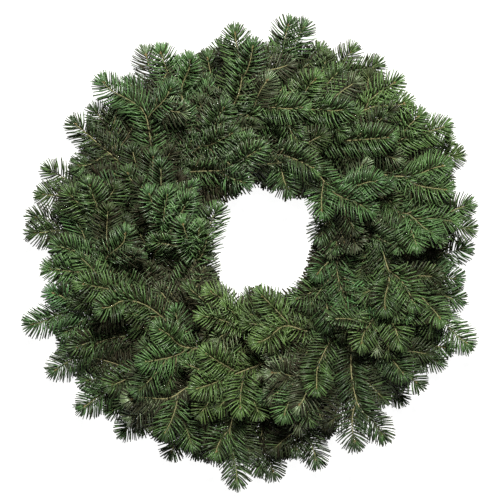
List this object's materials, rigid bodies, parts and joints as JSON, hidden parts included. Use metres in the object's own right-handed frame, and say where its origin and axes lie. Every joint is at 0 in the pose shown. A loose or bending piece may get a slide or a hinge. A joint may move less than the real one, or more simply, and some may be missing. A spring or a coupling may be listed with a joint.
{
  "type": "fir wreath",
  "caption": "Round wreath of green fir sprays clamped to a wire ring, their tips sweeping clockwise and outward, with an open centre.",
  "frame": {"origin": "centre of the wreath's outline, on the surface that its wire frame's flat underside rests on", "axes": "+Z out of the wreath's front, +Y to its top and +X to its right as seen from the front"},
  "size_m": [0.5972, 0.6188, 0.1124],
  "materials": {
    "fir_needles": "waxy dark green needles on olive brown twigs",
    "green_wire": "dark green enamel"
  },
  "bodies": {
    "root": {"ring_frame": "green_wire", "fir_spray_01": "fir_needles", "fir_spray_02": "fir_needles", "fir_spray_03": "fir_needles", "fir_spray_04": "fir_needles", "fir_spray_05": "fir_needles", "fir_spray_06": "fir_needles", "fir_spray_07": "fir_needles", "fir_spray_08": "fir_needles", "fir_spray_09": "fir_needles", "fir_spray_10": "fir_needles", "fir_spray_11": "fir_needles", "fir_spray_12": "fir_needles", "fir_spray_13": "fir_needles", "fir_spray_14": "fir_needles", "fir_spray_15": "fir_needles", "fir_spray_16": "fir_needles", "fir_spray_17": "fir_needles", "fir_spray_18": "fir_needles", "fir_spray_19": "fir_needles", "fir_spray_20": "fir_needles", "fir_spray_21": "fir_needles", "fir_spray_22": "fir_needles", "fir_spray_23": "fir_needles", "fir_spray_24": "fir_needles", "fir_spray_25": "fir_needles", "fir_spray_26": "fir_needles", "fir_spray_27": "fir_needles", "fir_spray_28": "fir_needles", "fir_spray_29": "fir_needles", "fir_spray_30": "fir_needles", "fir_spray_31": "fir_needles", "fir_spray_32": "fir_needles", "fir_spray_33": "fir_needles", "fir_spray_34": "fir_needles", "fir_spray_35": "fir_needles", "fir_spray_36": "fir_needles", "fir_spray_37": "fir_needles", "fir_spray_38": "fir_needles", "fir_spray_39": "fir_needles", "fir_spray_40": "fir_needles", "fir_spray_41": "fir_needles", "fir_spray_42": "fir_needles", "fir_spray_43": "fir_needles", "fir_spray_44": "fir_needles", "fir_spray_45": "fir_needles", "fir_spray_46": "fir_needles", "fir_spray_47": "fir_needles", "fir_spray_48": "fir_needles", "fir_spray_49": "fir_needles", "fir_spray_50": "fir_needles", "fir_spray_51": "fir_needles", "fir_spray_52": "fir_needles", "fir_spray_53": "fir_needles", "fir_spray_54": "fir_needles", "fir_spray_55": "fir_needles", "fir_spray_56": "fir_needles", "fir_spray_57": "fir_needles"}
  },
  "joints": []
}
